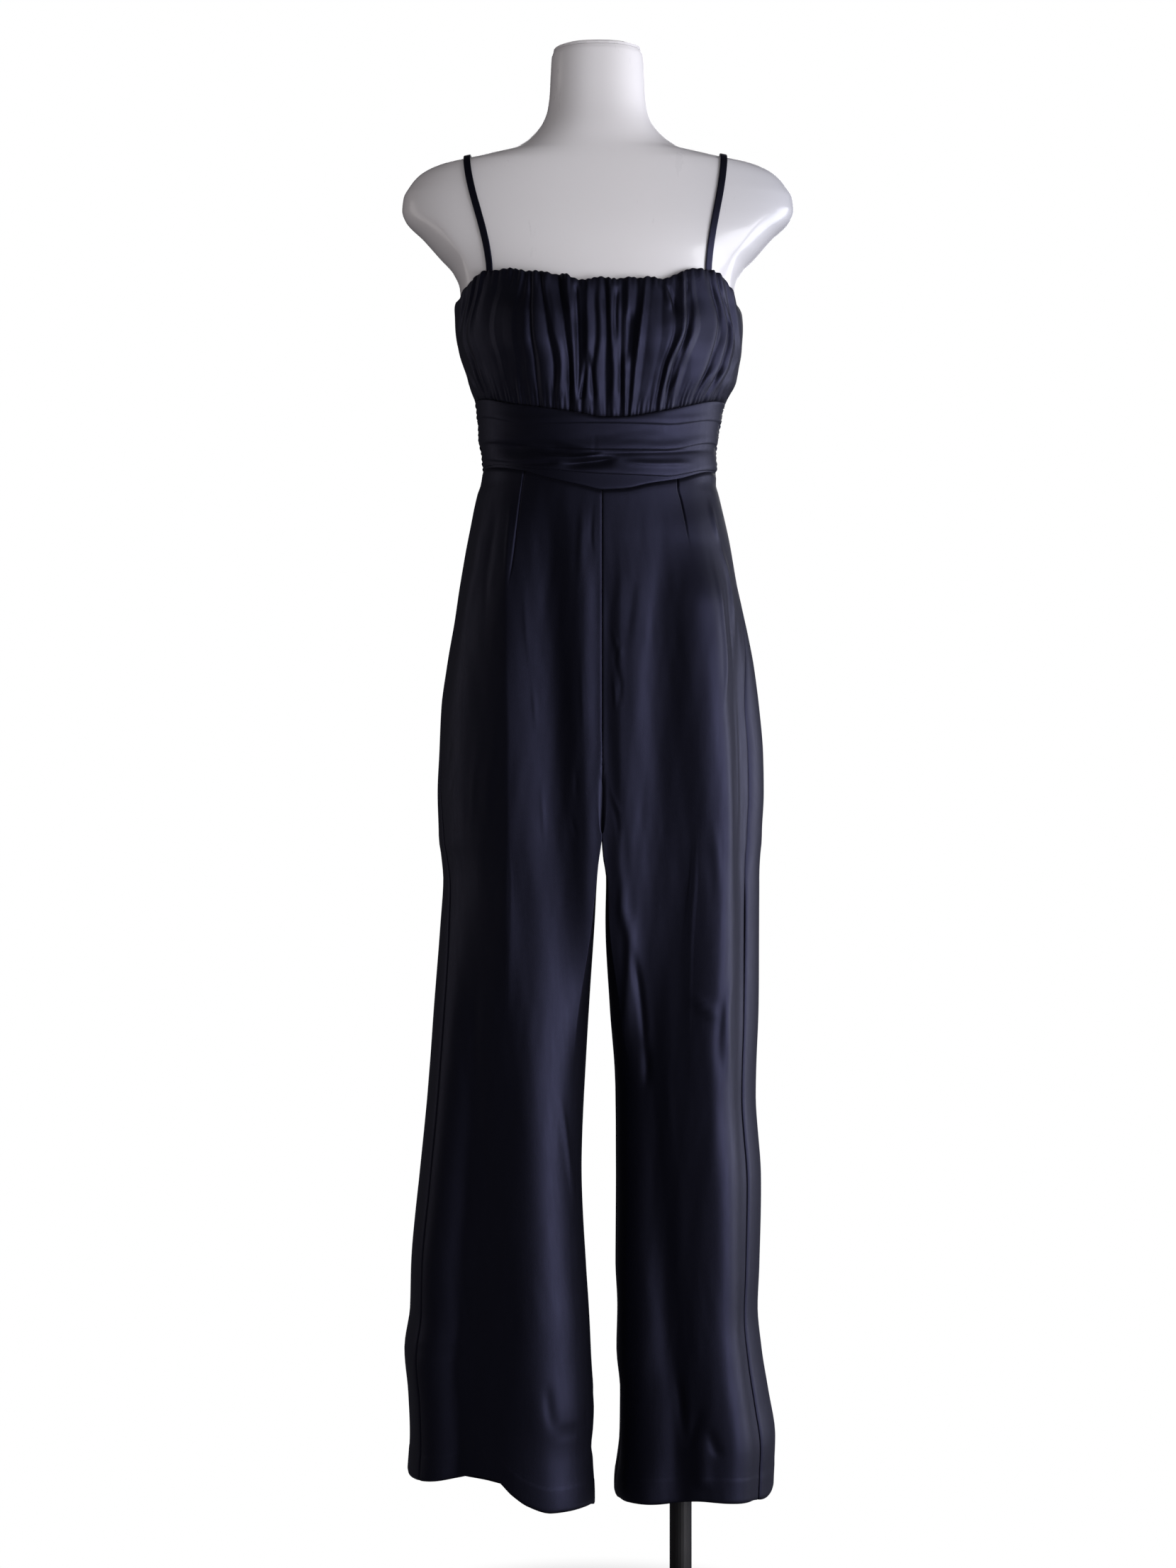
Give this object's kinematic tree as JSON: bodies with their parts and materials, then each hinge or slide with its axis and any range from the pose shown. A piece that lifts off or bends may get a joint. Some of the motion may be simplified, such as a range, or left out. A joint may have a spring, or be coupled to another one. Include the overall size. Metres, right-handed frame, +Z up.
{
  "type": "jumpsuit on dress form",
  "caption": "Strappy wide-leg jumpsuit with a gathered bodice and draped waistband, worn by a white headless, limbless dress form on a pole and round base.",
  "frame": {"origin": "middle of the base plate's underside, on the floor", "axes": "+Z up; the front faces -Y; +X is the wearer's left"},
  "size_m": [0.425, 0.33, 1.7161],
  "materials": {
    "black_satin_crepe": "satin-faced crepe, blue-black, soft sheen",
    "white_lacquer": "satin white lacquer, lightly scuffed",
    "dark_pole_metal": "satin black",
    "dark_base_metal": "satin black"
  },
  "bodies": {
    "root": {"strap_left": "black_satin_crepe", "strap_right": "black_satin_crepe", "bodice_front": "black_satin_crepe", "bodice_back": "black_satin_crepe", "waistband_front_drape": "black_satin_crepe", "waistband_front_lower": "black_satin_crepe", "waistband_back": "black_satin_crepe", "trouser_front_left": "black_satin_crepe", "trouser_front_right": "black_satin_crepe", "trouser_back_left": "black_satin_crepe", "trouser_back_right": "black_satin_crepe", "dress_form": "white_lacquer", "form_neck_cap": "white_lacquer", "form_pole": "dark_pole_metal", "form_base_collar": "dark_pole_metal", "form_base_plate": "dark_base_metal"}
  },
  "joints": []
}
